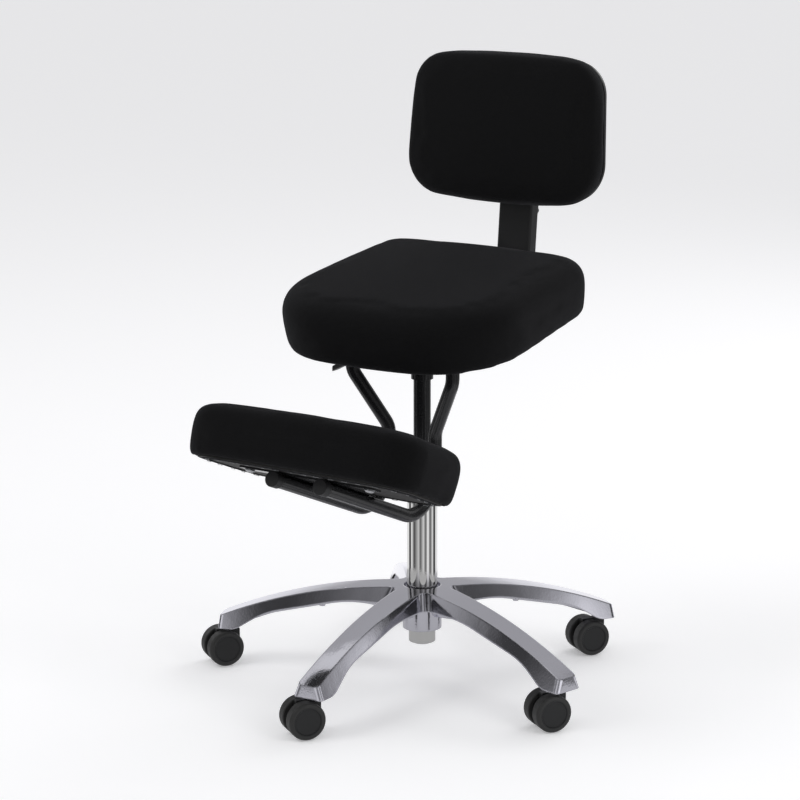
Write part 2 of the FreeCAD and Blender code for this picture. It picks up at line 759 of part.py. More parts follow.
def knob():
    "Lobed hand knob with its stud."
    deep = 19.0
    start = sleeve_rear + 1.0
    body = Part.makeCylinder(knob_radius, deep, V(0, start, 0), ALONG_Y)
    body = body.fuse(Part.makeCylinder(10.0, 1.0 + 0.01, V(0, sleeve_rear, 0), ALONG_Y))
    lobes = 8
    for i in range(lobes):
        turn = 2 * math.pi * i / lobes
        reach = knob_radius + 4.5
        at = V(reach * math.cos(turn), start - 1, reach * math.sin(turn))
        body = body.cut(Part.makeCylinder(7.0, deep + 4, at, ALONG_Y))
    body = body.removeSplitter()
    body = rounded(body, 1.5, lambda e: abs(e.CenterOfMass.y - start - deep) < 0.01)
    return body.fuse(rod(stud_radius, V(0, slide_rear + 0.15, 0), V(0, start + 2, 0)))


parts["back_knob"] = on_upright(knob())

# Slide bar with the plate that carries the backrest, its foot clear of the slot's floor all the way down
shell_rear = V(0, back_y, back_height) - V(0, -math.cos(upright), math.sin(upright)) * (back_thick / 2)
plate_front = (shell_rear - knob_point).dot(across)
bracket_low = 72.0
bracket_high = 168.0
slide_foot = slot_floor + height_down + 4
slide = box(V(-slide_half, slide_front, slide_foot), V(slide_half, slide_rear, bracket_high + 14))
hat = box(V(-22, plate_front + 3, bracket_low + 12), V(22, slide_front, bracket_high - 12))
hat = hat.cut(box(V(-18, plate_front + 2, bracket_low + 5), V(18, slide_front - 4, bracket_high - 5)))
bracket = box(V(-42, plate_front, bracket_low), V(42, plate_front + 4, bracket_high))
bracket = rounded(bracket, 8.0, lambda e: abs(e.Length - 4) < 0.01)
back_bolt_places = [(x, z) for x in (-32, 32) for z in (bracket_low + 14, bracket_high - 14)]
slide = slide.multiFuse([hat, bracket]).removeSplitter()
shell = parts["back_shell"]
back_bolts = []
for x, z in back_bolt_places:
    slide = slide.cut(rod(3.2, V(x, plate_front - 1, z), V(x, plate_front + 6, z)))
    shell = shell.cut(on_upright(rod(3.0, V(x, plate_front + 1, z), V(x, plate_front - 7, z))))
    screw = dome_screw(3.0, 6.5, 11.0)
    screw.rotate(V(0, 0, 0), AHEAD_X, 90)
    screw.translate(V(x, plate_front + 4, z))
    back_bolts.append(on_upright(screw))
parts["back_slide_bar"] = on_upright(slide)
parts["back_shell"] = shell
parts["back_screws"] = Part.makeCompound(back_bolts)

# Write every piece
os.makedirs("parts", exist_ok=True)
everything = FreeCAD.BoundBox()
for name, shape in parts.items():
    everything.add(shape.optimalBoundingBox(False))
print("middle of the outline from the column: %.3f %.3f" % (everything.Center.x, everything.Center.y))
spans = (everything.XLength, everything.YLength, everything.ZLength, everything.ZMin)
print("outline %.1f x %.1f x %.1f, low %.3f" % spans)
for name, shape in sorted(parts.items()):
    out = moved(shape, column_x, column_y)
    if not out.isValid() or out.Volume <= 0:
        print("check", name, out.isValid(), out.Volume)
    out.exportStep("parts/%s.step" % name)
print("pieces", len(parts))
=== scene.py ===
"""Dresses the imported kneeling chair: cushions, covers, small trim, finishes, light and camera."""
import json
import math

import bpy
from bpy.props import FloatProperty, FloatVectorProperty, PointerProperty
from mathutils import Matrix, Vector


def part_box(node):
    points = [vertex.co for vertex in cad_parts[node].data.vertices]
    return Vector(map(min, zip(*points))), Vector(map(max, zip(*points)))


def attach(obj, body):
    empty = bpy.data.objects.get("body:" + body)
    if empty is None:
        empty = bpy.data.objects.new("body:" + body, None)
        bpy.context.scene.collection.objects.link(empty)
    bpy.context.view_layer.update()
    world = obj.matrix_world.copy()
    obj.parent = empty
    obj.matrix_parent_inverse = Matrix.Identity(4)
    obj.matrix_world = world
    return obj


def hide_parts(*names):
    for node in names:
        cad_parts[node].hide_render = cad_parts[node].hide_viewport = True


bl_info = {
    "name": "Kneeling chair",
    "version": (1, 0, 0),
    "blender": (4, 5, 0),
    "location": "View3D > Sidebar > Chair",
    "description": "Upholstery, finishes and studio for a kneeling chair on a five-arm base",
    "category": "Object",
}

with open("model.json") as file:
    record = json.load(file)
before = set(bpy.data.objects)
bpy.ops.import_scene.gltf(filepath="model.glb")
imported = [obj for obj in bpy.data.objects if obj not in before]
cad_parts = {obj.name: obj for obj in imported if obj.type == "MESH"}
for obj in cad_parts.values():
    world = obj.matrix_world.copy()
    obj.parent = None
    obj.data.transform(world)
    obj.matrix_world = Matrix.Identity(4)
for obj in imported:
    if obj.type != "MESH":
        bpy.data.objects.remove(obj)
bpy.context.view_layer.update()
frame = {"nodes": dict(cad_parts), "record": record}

# How far each cushion is tipped from level
SEAT_SLOPE = math.radians(8.2)
SHIN_SLOPE = math.radians(-22.9)
BACK_SLOPE = math.radians(84.5)

# How far the picture's middle lies from the lens's axis, in frame widths
CAMERA_SHIFT = (-0.0269, -0.0036)

# Soft lights: name, place, size, power in watts
LIGHTS = (
    ("key", (-2.2, -2.6, 3.6), (1.8, 1.8), 40.0),
    ("side", (3.4, -0.6, 2.0), (0.9, 2.4), 18.0),
    ("rear", (0.6, 3.4, 2.6), (2.2, 1.2), 25.0),
)

# Cards round the chair, blended from one to the next: degrees from the camera's side, grey
CARDS = (
    (-180, 1.0), (-132, 0.9), (-122, 1.0), (-112, 0.05), (-97, 0.05),
    (-90, 0.95), (-78, 0.7), (-66, 0.12), (-58, 0.1), (-44, 0.34),
    (-24, 0.7), (-14, 0.12), (-2, 0.34), (12, 0.8), (24, 0.2),
    (34, 0.24), (40, 0.95), (52, 0.9), (60, 0.1), (72, 0.3),
    (86, 0.95), (97, 0.05), (111, 0.05), (119, 0.9), (180, 1.0),
)

# How much of a card's grey is left: height in metres, share
CARD_FALL = ((0.0, 1.0), (0.12, 1.0), (0.2, 0.8), (0.27, 0.42), (0.5, 0.4), (1.0, 0.42))

# The room's grey, from straight down (0) past the horizon (0.5) to straight up (1)
ROOM_GREYS = ((0.0, 0.95), (0.5, 1.0), (0.6, 0.8), (0.72, 0.55), (0.86, 0.9), (1.0, 0.7))


class ChairFabric(bpy.types.PropertyGroup):
    """Sizes and colours of the upholstery"""

    colour: FloatVectorProperty(name="Colour", description="Colour of the yarn", subtype="COLOR", size=3,
                                default=(0.0045, 0.0045, 0.0048), min=0.0, max=1.0)
    thread: FloatProperty(name="Thread", description="Width of one thread of the weave", default=0.0009,
                          min=0.0002, max=0.005, precision=4, subtype="DISTANCE", unit="LENGTH")
    swell: FloatProperty(name="Swell", description="Most that the foam may press its cover outwards",
                         default=0.003, min=0.0, max=0.02, precision=4, subtype="DISTANCE",
                         unit="LENGTH")
    voxel: FloatProperty(name="Voxel", description="Mesh size of a cushion while its cover is drawn tight",
                         default=0.006, min=0.003, max=0.01, precision=4, subtype="DISTANCE",
                         unit="LENGTH")
    hem: FloatProperty(name="Hem", description="Width of cover turned under a board", default=0.022,
                       min=0.005, max=0.05, precision=4, subtype="DISTANCE", unit="LENGTH")
    staple_pitch: FloatProperty(name="Staple pitch", description="Distance between staples along a hem",
                                default=0.028, min=0.01, max=0.1, precision=4, subtype="DISTANCE",
                                unit="LENGTH")


class ChairMetal(bpy.types.PropertyGroup):
    """Colours of the metal pieces"""

    aluminium: FloatVectorProperty(name="Aluminium", description="Colour of the polished casting",
                                   subtype="COLOR", size=3, default=(0.76, 0.755, 0.82), min=0.0, max=1.0)
    chrome: FloatVectorProperty(name="Chrome", description="Colour of the lift's outer tube",
                                subtype="COLOR", size=3, default=(0.74, 0.735, 0.72), min=0.0, max=1.0)
    zinc: FloatVectorProperty(name="Zinc", description="Colour of the plated screws",
                              subtype="COLOR", size=3, default=(0.60, 0.61, 0.63), min=0.0, max=1.0)
    edge: FloatProperty(name="Edge", description="Radius that polishing leaves on the casting's edges",
                        default=0.0035, min=0.0, max=0.01, precision=4, subtype="DISTANCE",
                        unit="LENGTH")
    paint: FloatVectorProperty(name="Paint", description="Colour of the coated steel",
                               subtype="COLOR", size=3, default=(0.012, 0.012, 0.013), min=0.0, max=1.0)


class ChairPlastic(bpy.types.PropertyGroup):
    """Colours of the plastic and rubber pieces"""

    black: FloatVectorProperty(name="Black", description="Colour of the moulded covers",
                               subtype="COLOR", size=3, default=(0.014, 0.014, 0.015), min=0.0, max=1.0)
    nylon: FloatVectorProperty(name="Nylon", description="Colour of the castor bodies",
                               subtype="COLOR", size=3, default=(0.0085, 0.009, 0.0095), min=0.0,
                               max=1.0)
    tread: FloatVectorProperty(name="Tread", description="Colour of the castors' soft treads",
                               subtype="COLOR", size=3, default=(0.02, 0.02, 0.0195), min=0.0, max=1.0)


class ChairStudio(bpy.types.PropertyGroup):
    """Camera, floor and light"""

    azimuth: FloatProperty(name="Azimuth", description="Camera's turn from the chair's front",
                           default=math.radians(33.2), subtype="ANGLE", unit="ROTATION")
    tilt: FloatProperty(name="Tilt", description="Camera's angle below the horizon",
                        default=math.radians(13.0), subtype="ANGLE", unit="ROTATION")
    place: FloatVectorProperty(name="Place", description="Camera's place", subtype="TRANSLATION", size=3,
                               default=(2.2247, -3.3674, 1.4071), unit="LENGTH")
    lens: FloatProperty(name="Lens", description="Focal length", default=115.74, min=10.0, max=400.0,
                        subtype="DISTANCE_CAMERA")
    floor: FloatVectorProperty(name="Floor", description="Colour of the floor", subtype="COLOR", size=3,
                               default=(0.93, 0.93, 0.94), min=0.0, max=1.0)
    power: FloatProperty(name="Light", description="Strength of the soft lights", default=1.0,
                         min=0.0, max=10.0)
    room: FloatProperty(name="Room", description="Brightness of the room round the chair", default=0.75,
                        min=0.0, max=5.0)
    glow: FloatProperty(name="Glow", description="Light that the floor gives by itself", default=0.28,
                        min=0.0, max=2.0)


def deselect():
    for thing in bpy.context.selected_objects:
        thing.select_set(False)


def only(thing):
    """Makes one object the selected and active one."""
    deselect()
    thing.select_set(True)
    bpy.context.view_layer.objects.active = thing


def settle(thing):
    """Puts an object's place into its mesh."""
    only(thing)
    bpy.ops.object.transform_apply(location=True, rotation=True, scale=True)


def edit(thing, select="DESELECT"):
    only(thing)
    bpy.ops.object.mode_set(mode="EDIT")
    bpy.ops.mesh.select_all(action=select)


def done():
    bpy.ops.object.mode_set(mode="OBJECT")


def pick(thing, chosen):
    """In edit mode, selects the faces that a test picks."""
    bpy.ops.mesh.select_mode(type="FACE")
    bpy.ops.mesh.select_all(action="DESELECT")
    done()
    for face in thing.data.polygons:
        face.select = chosen(face.center, face.normal)
    bpy.ops.object.mode_set(mode="EDIT")


def apply_modifiers(thing):
    only(thing)
    for modifier in list(thing.modifiers):
        bpy.ops.object.modifier_apply(modifier=modifier.name)


def smooth(thing, degrees):
    only(thing)
    bpy.ops.object.shade_smooth_by_angle(angle=math.radians(degrees))


def join(pieces, name):
    """Joins like pieces into one object."""
    deselect()
    for piece in pieces:
        piece.select_set(True)
    bpy.context.view_layer.objects.active = pieces[0]
    bpy.ops.object.join()
    whole = bpy.context.view_layer.objects.active
    whole.name = name
    settle(whole)
    return whole


def dress(piece, body, slot_name, *nodes):
    """A finished piece rides on its body, takes its slot's finish and may stand for CAD nodes."""
    piece.data.materials.clear()
    piece.data.materials.append(FINISHES[slot_name])
    if nodes:
        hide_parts(*nodes)
    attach(piece, body)


def node_copy(node, name):
    """A merged copy of a CAD node's mesh as a new object at the origin."""
    piece = bpy.data.objects.new(name, frame["nodes"][node].data.copy())
    bpy.context.collection.objects.link(piece)
    edit(piece, "SELECT")
    bpy.ops.mesh.remove_doubles(threshold=0.00002)
    done()
    return piece


# Shared shader groups


def new_group(name, inputs, outputs):
    group = bpy.data.node_groups.new(name, "ShaderNodeTree")
    for label, kind, value in inputs:
        socket = group.interface.new_socket(name=label, in_out="INPUT", socket_type=kind)
        if value is not None:
            socket.default_value = value
    for label, kind in outputs:
        group.interface.new_socket(name=label, in_out="OUTPUT", socket_type=kind)
    return group, group.nodes.new("NodeGroupInput"), group.nodes.new("NodeGroupOutput")


def maths(tree, operation, first, second=None, third=None):
    node = tree.nodes.new("ShaderNodeMath")
    node.operation = operation
    for index, value in enumerate((first, second, third)):
        if value is None:
            continue
        if isinstance(value, (int, float)):
            node.inputs[index].default_value = value
        else:
            tree.links.new(value, node.inputs[index])
    return node.outputs[0]


def ramp(tree, steps):
    """A colour ramp of greys through the given places."""
    node = tree.nodes.new("ShaderNodeValToRGB")
    ends = node.color_ramp.elements
    while len(ends) < len(steps):
        ends.new(0.5)
    for element, (position, value) in zip(ends, steps):
        element.position = position
        element.color = (value, value, value * 1.01, 1.0)
    return node


def drift_group():
    """Slow change of tone over a surface, as paint, plastic and cloth have."""
    group, start, end = new_group("tone_drift", [("Colour", "NodeSocketColor", (0.5, 0.5, 0.5, 1.0)),
                                                 ("Amount", "NodeSocketFloat", 0.1),
                                                 ("Scale", "NodeSocketFloat", 12.0)],
                                  [("Colour", "NodeSocketColor")])
    place = group.nodes.new("ShaderNodeTexCoord")
    noise = group.nodes.new("ShaderNodeTexNoise")
    noise.inputs["Detail"].default_value = 4.0
    group.links.new(place.outputs["Object"], noise.inputs["Vector"])
    group.links.new(start.outputs["Scale"], noise.inputs["Scale"])
    centred = maths(group, "SUBTRACT", noise.outputs["Fac"], 0.5)
    wide = maths(group, "MULTIPLY", centred, start.outputs["Amount"])
    gain = maths(group, "MULTIPLY_ADD", wide, 2.0, 1.0)
    tint = group.nodes.new("ShaderNodeVectorMath")
    tint.operation = "SCALE"
    group.links.new(start.outputs["Colour"], tint.inputs[0])
    group.links.new(gain, tint.inputs["Scale"])
    group.links.new(tint.outputs["Vector"], end.inputs["Colour"])
    return group


def grain_group():
    """Fine grain: a height for the bump and a roughness that changes with it."""
    group, start, end = new_group("fine_grain", [("Scale", "NodeSocketFloat", 900.0),
                                                 ("Wave Scale", "NodeSocketFloat", 40.0),
                                                 ("Wave", "NodeSocketFloat", 0.3),
                                                 ("Roughness", "NodeSocketFloat", 0.4),
                                                 ("Spread", "NodeSocketFloat", 0.1)],
                                  [("Height", "NodeSocketFloat"), ("Roughness", "NodeSocketFloat")])
    place = group.nodes.new("ShaderNodeTexCoord")
    fine = group.nodes.new("ShaderNodeTexNoise")
    fine.inputs["Detail"].default_value = 2.0
    slow = group.nodes.new("ShaderNodeTexNoise")
    slow.inputs["Detail"].default_value = 3.0
    for noise, label in ((fine, "Scale"), (slow, "Wave Scale")):
        group.links.new(place.outputs["Object"], noise.inputs["Vector"])
        group.links.new(start.outputs[label], noise.inputs["Scale"])
    raised = maths(group, "MULTIPLY", slow.outputs["Fac"], start.outputs["Wave"])
    keep = maths(group, "SUBTRACT", 1.0, start.outputs["Wave"])
    low = maths(group, "MULTIPLY", fine.outputs["Fac"], keep)
    group.links.new(maths(group, "ADD", raised, low), end.inputs["Height"])
    centred = maths(group, "SUBTRACT", slow.outputs["Fac"], 0.5)
    change = maths(group, "MULTIPLY", centred, start.outputs["Spread"])
    doubled = maths(group, "MULTIPLY", change, 2.0)
    group.links.new(maths(group, "ADD", start.outputs["Roughness"], doubled), end.inputs["Roughness"])
    return group


def thread_group():
    """Height of a plain weave in one plane; the vector counts threads."""
    group, start, end = new_group("plain_weave", [("Vector", "NodeSocketVector", None)],
                                  [("Height", "NodeSocketFloat")])
    split = group.nodes.new("ShaderNodeSeparateXYZ")
    group.links.new(start.outputs["Vector"], split.inputs[0])
    across, along = split.outputs[0], split.outputs[1]
    cells = maths(group, "ADD", maths(group, "FLOOR", across), maths(group, "FLOOR", along))
    over = maths(group, "FLOORED_MODULO", cells, 2.0)
    under = maths(group, "SUBTRACT", 1.0, over)
    warp = maths(group, "SINE", maths(group, "MULTIPLY", maths(group, "FRACT", across), math.pi))
    weft = maths(group, "SINE", maths(group, "MULTIPLY", maths(group, "FRACT", along), math.pi))
    weft_crown = maths(group, "MULTIPLY_ADD", weft, 0.5, 0.5)
    warp_crown = maths(group, "MULTIPLY_ADD", warp, 0.5, 0.5)
    first = maths(group, "MULTIPLY", maths(group, "SQRT", warp), weft_crown)
    second = maths(group, "MULTIPLY", maths(group, "SQRT", weft), warp_crown)
    raised = maths(group, "MULTIPLY", first, over)
    lowered = maths(group, "MULTIPLY", second, under)
    group.links.new(maths(group, "ADD", raised, lowered), end.inputs["Height"])
    return group


def woven_group(plane):
    """A weave that wraps a cushion: three planes mixed by the way the surface faces."""
    group, start, end = new_group("woven_cover", [("Colour", "NodeSocketColor", (0.01, 0.01, 0.01, 1.0)),
                                                  ("Threads", "NodeSocketFloat", 1100.0),
                                                  ("Turn", "NodeSocketVector", None)],
                                  [("Colour", "NodeSocketColor"), ("Height", "NodeSocketFloat"),
                                   ("Roughness", "NodeSocketFloat")])
    place = group.nodes.new("ShaderNodeTexCoord")
    turned = []
    for socket in ("Object", "Normal"):
        turn = group.nodes.new("ShaderNodeVectorRotate")
        turn.rotation_type = "EULER_XYZ"
        group.links.new(place.outputs[socket], turn.inputs["Vector"])
        group.links.new(start.outputs["Turn"], turn.inputs["Rotation"])
        turned.append(turn.outputs[0])
    count = group.nodes.new("ShaderNodeVectorMath")
    count.operation = "SCALE"
    group.links.new(turned[0], count.inputs[0])
    group.links.new(start.outputs["Threads"], count.inputs["Scale"])
    where = group.nodes.new("ShaderNodeSeparateXYZ")
    group.links.new(count.outputs[0], where.inputs[0])
    facing = group.nodes.new("ShaderNodeSeparateXYZ")
    group.links.new(turned[1], facing.inputs[0])
    weights = [maths(group, "POWER", maths(group, "ABSOLUTE", facing.outputs[i]), 6.0) for i in range(3)]
    whole = maths(group, "ADD", maths(group, "ADD", weights[0], weights[1]), weights[2])
    total = None
    for weight, (u, v) in zip(weights, ((1, 2), (0, 2), (0, 1))):
        flat = group.nodes.new("ShaderNodeCombineXYZ")
        group.links.new(where.outputs[u], flat.inputs[0])
        group.links.new(where.outputs[v], flat.inputs[1])
        layer = group.nodes.new("ShaderNodeGroup")
        layer.node_tree = plane
        group.links.new(flat.outputs[0], layer.inputs[0])
        share = maths(group, "MULTIPLY", layer.outputs[0], maths(group, "DIVIDE", weight, whole))
        total = share if total is None else maths(group, "ADD", total, share)
    slub = group.nodes.new("ShaderNodeTexNoise")
    slub.inputs["Scale"].default_value = 420.0
    slub.inputs["Detail"].default_value = 3.0
    group.links.new(turned[0], slub.inputs["Vector"])
    height = maths(group, "ADD", total, maths(group, "MULTIPLY", slub.outputs["Fac"], 0.6))
    group.links.new(height, end.inputs["Height"])
    # Painted shade: the yarn's colour darkens where the threads dip under one another; the slub noise adds
    # a random mottle on top.
    painted_shade = maths(group, "MULTIPLY_ADD", total, 0.7, 0.6)
    painted_shade_and_mottle = maths(group, "MULTIPLY", painted_shade, maths(group, "MULTIPLY_ADD", slub.outputs["Fac"], 0.8, 0.6))
    tint = group.nodes.new("ShaderNodeVectorMath")
    tint.operation = "SCALE"
    group.links.new(start.outputs["Colour"], tint.inputs[0])
    group.links.new(painted_shade_and_mottle, tint.inputs["Scale"])
    group.links.new(tint.outputs[0], end.inputs["Colour"])
    group.links.new(maths(group, "MULTIPLY_ADD", total, -0.1, 0.97), end.inputs["Roughness"])
    return group


def finish_material(name, metallic=0.0, coat=0.0, sheen=0.0, specular=0.5):
    """A Principled material with its even values set on its own sockets."""
    material = bpy.data.materials.new(name)
    material.use_nodes = True
    shader = material.node_tree.nodes["Principled BSDF"]
    shader.inputs["Metallic"].default_value = metallic
    shader.inputs["IOR"].default_value = 1.5
    shader.inputs["Specular IOR Level"].default_value = specular
    shader.inputs["Coat Weight"].default_value = coat
    shader.inputs["Coat Roughness"].default_value = 0.08
    shader.inputs["Sheen Weight"].default_value = sheen
    shader.inputs["Sheen Roughness"].default_value = 0.45
    shader.inputs["Sheen Tint"].default_value = (0.9, 0.9, 1.0, 1.0)
    return material, shader


def place_group(material, group, **values):
    node = material.node_tree.nodes.new("ShaderNodeGroup")
    node.node_tree = group
    for label, value in values.items():
        node.inputs[label.replace("_", " ")].default_value = value
    return node


def soft_edges(material, shader, radius):
    """Rounds the look of a casting's edges under the bump that the finish has already."""
    node = material.node_tree.nodes.new("ShaderNodeBevel")
    node.samples = 6
    node.inputs["Radius"].default_value = radius
    bump_node = shader.inputs["Normal"].links[0].from_node
    material.node_tree.links.new(node.outputs["Normal"], bump_node.inputs["Normal"])


def bump(material, shader, height, distance, strength=1.0):
    node = material.node_tree.nodes.new("ShaderNodeBump")
    node.inputs["Distance"].default_value = distance
    node.inputs["Strength"].default_value = strength
    material.node_tree.links.new(height, node.inputs["Height"])
    material.node_tree.links.new(node.outputs["Normal"], shader.inputs["Normal"])


def plain_finish(name, colour, roughness, groups, drift=0.12, drift_scale=14.0, grain=900.0, wave=0.3,
                 wave_scale=40.0, spread=0.1, depth=0.00004, **even):
    """A finish with slow tone changes, a changing roughness and a fine bump."""
    material, shader = finish_material(name, **even)
    links = material.node_tree.links
    tone = place_group(material, groups["drift"], Colour=(*colour, 1.0), Amount=drift, Scale=drift_scale)
    texture = place_group(material, groups["grain"], Scale=grain, Wave_Scale=wave_scale, Wave=wave,
                          Roughness=roughness, Spread=spread)
    links.new(tone.outputs["Colour"], shader.inputs["Base Color"])
    links.new(texture.outputs["Roughness"], shader.inputs["Roughness"])
    bump(material, shader, texture.outputs["Height"], depth)
    return material


def fabric_finish(name, fabric, groups, turn):
    material, shader = finish_material(name, sheen=0.05, specular=0.1)
    links = material.node_tree.links
    cover = place_group(material, groups["woven"], Colour=(*fabric.colour, 1.0),
                        Threads=1.0 / fabric.thread, Turn=(turn, 0.0, 0.0))
    links.new(cover.outputs["Colour"], shader.inputs["Base Color"])
    links.new(cover.outputs["Roughness"], shader.inputs["Roughness"])
    bump(material, shader, cover.outputs["Height"], distance=0.00025, strength=0.8)
    return material


FINISHES = {}


class CHAIR_OT_finishes(bpy.types.Operator):
    """Makes every finish and gives the CAD pieces theirs"""

    bl_idname = "chair.finishes"
    bl_label = "Finishes"

    def execute(self, context):
        metal = context.scene.chair_metal
        plastic = context.scene.chair_plastic
        fabric = context.scene.chair_fabric
        groups = {"drift": drift_group(), "grain": grain_group(), "woven": woven_group(thread_group())}
        FINISHES["polished_aluminium"] = plain_finish(
            "polished_aluminium", metal.aluminium, 0.085, groups, drift=0.05, drift_scale=9.0, grain=260.0,
            wave=0.95, wave_scale=8.0, spread=0.06, depth=0.0012, metallic=1.0)
        casting = FINISHES["polished_aluminium"]
        soft_edges(casting, casting.node_tree.nodes["Principled BSDF"], metal.edge)
        FINISHES["chrome_tube"] = plain_finish(
            "chrome_tube", metal.chrome, 0.045, groups, drift=0.03, wave=0.5, wave_scale=6.0, spread=0.03,
            depth=0.00002, metallic=1.0)
        FINISHES["zinc_steel"] = plain_finish(
            "zinc_steel", metal.zinc, 0.27, groups, drift=0.14, drift_scale=90.0, grain=1400.0,
            wave_scale=160.0, spread=0.16, depth=0.00003, metallic=1.0)
        FINISHES["black_steel"] = plain_finish(
            "black_steel", metal.paint, 0.24, groups, drift=0.2, drift_scale=22.0, grain=500.0, wave=0.6,
            wave_scale=240.0, spread=0.1, depth=0.00006, coat=0.2)
        FINISHES["black_plastic"] = plain_finish(
            "black_plastic", plastic.black, 0.42, groups, drift=0.15, grain=1300.0, wave=0.2, spread=0.14,
            depth=0.00012)
        FINISHES["guide_plastic"] = plain_finish(
            "guide_plastic", plastic.black, 0.36, groups, grain=1500.0, depth=0.00005)
        FINISHES["castor_nylon"] = plain_finish(
            "castor_nylon", plastic.nylon, 0.4, groups, drift=0.16, drift_scale=60.0, grain=1600.0,
            wave_scale=120.0, spread=0.16, depth=0.00006)
        FINISHES["soft_tread"] = plain_finish(
            "soft_tread", plastic.tread, 0.48, groups, drift=0.2, drift_scale=70.0, grain=1500.0,
            wave_scale=150.0, spread=0.2, depth=0.00008)
        FINISHES["birch_board"] = plain_finish(
            "birch_board", (0.022, 0.021, 0.02), 0.62, groups, drift=0.35, drift_scale=30.0, grain=700.0,
            wave_scale=90.0, spread=0.2, depth=0.00015)
        FINISHES["black_fabric"] = fabric_finish("black_fabric", fabric, groups, -SEAT_SLOPE)
        FINISHES["shin_fabric"] = fabric_finish("shin_fabric", fabric, groups, -SHIN_SLOPE)
        FINISHES["back_fabric"] = fabric_finish("back_fabric", fabric, groups, -BACK_SLOPE)
        slots = {entry["node"]: entry["material_slot"] for entry in frame["record"]["subparts"]}
        for node, piece in frame["nodes"].items():
            if piece.type != "MESH":
                continue
            piece.data.materials.clear()
            piece.data.materials.append(FINISHES[slots[node]])
        return {"FINISHED"}


def swollen(piece, normal, limit):
    """Draws a cushion's cover tight: the foam presses it out up to the limit, but not at its foot."""
    held_band = 0.006
    frames = 20
    base = min(normal.dot(v.co) for v in piece.data.vertices)
    low = [v.index for v in piece.data.vertices if normal.dot(v.co) < base + held_band]
    held = piece.vertex_groups.new(name="held")
    held.add(low, 1.0, "REPLACE")
    start = [v.co.copy() for v in piece.data.vertices]
    only(piece)
    cloth = piece.modifiers.new("cover", "CLOTH")
    cloth.settings.use_pressure = True
    cloth.settings.uniform_pressure_force = 4.0
    cloth.settings.vertex_group_mass = "held"
    cloth.settings.effector_weights.gravity = 0.0
    cloth.settings.tension_stiffness = 30.0
    cloth.settings.compression_stiffness = 30.0
    cloth.settings.bending_stiffness = 2.0
    cloth.point_cache.frame_start = 1
    cloth.point_cache.frame_end = frames
    for number in range(1, frames + 1):
        bpy.context.scene.frame_set(number)
    shaped = piece.evaluated_get(bpy.context.evaluated_depsgraph_get())
    ends = [v.co.copy() for v in shaped.data.vertices]
    piece.modifiers.remove(cloth)
    bpy.context.scene.frame_set(1)
    ways = [v.normal.copy() for v in piece.data.vertices]
    for vertex, a, b, way in zip(piece.data.vertices, start, ends, ways):
        vertex.co = a + way * min(max((b - a).dot(way), 0.0), limit)
    piece.vertex_groups.remove(held)
    tight = piece.modifiers.new("tight", "SMOOTH")
    tight.iterations = 5
    tight.factor = 0.5
    apply_modifiers(piece)


def wrap_board(piece, board, normal, base, top):
    """Draws the cover's lower edge down over the board's rim; over the board it stays where it is."""
    lower_part = 0.4
    margin = 0.0004
    past_board = 0.0012
    heights = [normal.dot(v.co) for v in board.data.vertices]
    low, high = min(heights), max(heights)
    for vertex in piece.data.vertices:
        height = normal.dot(vertex.co)
        share = (height - base) / (top - base)
        if share > lower_part:
            continue
        level = vertex.co + normal * ((low + high) / 2 - height)
        _hit, near, way, _face = board.closest_point_on_mesh(level)
        if (level - near).dot(way) < margin:
            continue
        fall = 1.0 - max(share, 0.0) / lower_part
        vertex.co -= normal * ((high - low + past_board) * fall * fall * (3 - 2 * fall))


def cushion(node, name, slope, body, finish, bulge, spread, board=None):
    """A foam cushion in its cover, from the CAD solid: its sides bulge and its foot spreads to the rim."""
    foot = 0.22
    core = 0.02
    fabric = bpy.context.scene.chair_fabric
    normal = Vector((0, -math.sin(slope), math.cos(slope)))
    piece = node_copy(node, name)
    edit(piece, "SELECT")
    bpy.ops.mesh.normals_make_consistent(inside=False)
    done()
    remesh = piece.modifiers.new("even", "REMESH")
    remesh.mode = "VOXEL"
    remesh.voxel_size = fabric.voxel
    even = piece.modifiers.new("soft", "SMOOTH")
    even.iterations = 12
    even.factor = 0.5
    apply_modifiers(piece)
    base = min(normal.dot(v.co) for v in piece.data.vertices)
    top = max(normal.dot(v.co) for v in piece.data.vertices)
    middle = sum((v.co for v in piece.data.vertices), Vector()) / len(piece.data.vertices)
    for vertex in piece.data.vertices:
        share = (normal.dot(vertex.co) - base) / (top - base)
        out = vertex.co - middle
        out -= normal * normal.dot(out)
        move = bulge * math.sin(math.pi * min(max(share, 0.0), 1.0)) - bulge * 0.25
        move += spread * max(0.0, 1.0 - share / foot) ** 1.5
        if out.length > core:
            vertex.co += out.normalized() * move
    if board:
        wrap_board(piece, frame["nodes"][board], normal, base, top)
    swollen(piece, normal, fabric.swell)
    finer = piece.modifiers.new("finer", "SUBSURF")
    finer.levels = finer.render_levels = 1
    apply_modifiers(piece)
    only(piece)
    bpy.ops.object.shade_smooth()
    dress(piece, body, "black_fabric", node)
    piece.data.materials[0] = FINISHES[finish]


class CHAIR_OT_cushions(bpy.types.Operator):
    """Makes the three cushions in their covers"""

    bl_idname = "chair.cushions"
    bl_label = "Cushions"

    def execute(self, context):
        cushion("seat_cushion", "seat_pad", SEAT_SLOPE, "seat", "black_fabric",
                bulge=0.006, spread=0.0050, board="seat_board")
        cushion("shin_cushion", "shin_pad", SHIN_SLOPE, "seat", "shin_fabric",
                bulge=0.004, spread=0.0045, board="shin_board")
        cushion("back_cushion", "back_pad", BACK_SLOPE, "back", "back_fabric",
                bulge=0.003, spread=0.003)
        return {"FINISHED"}


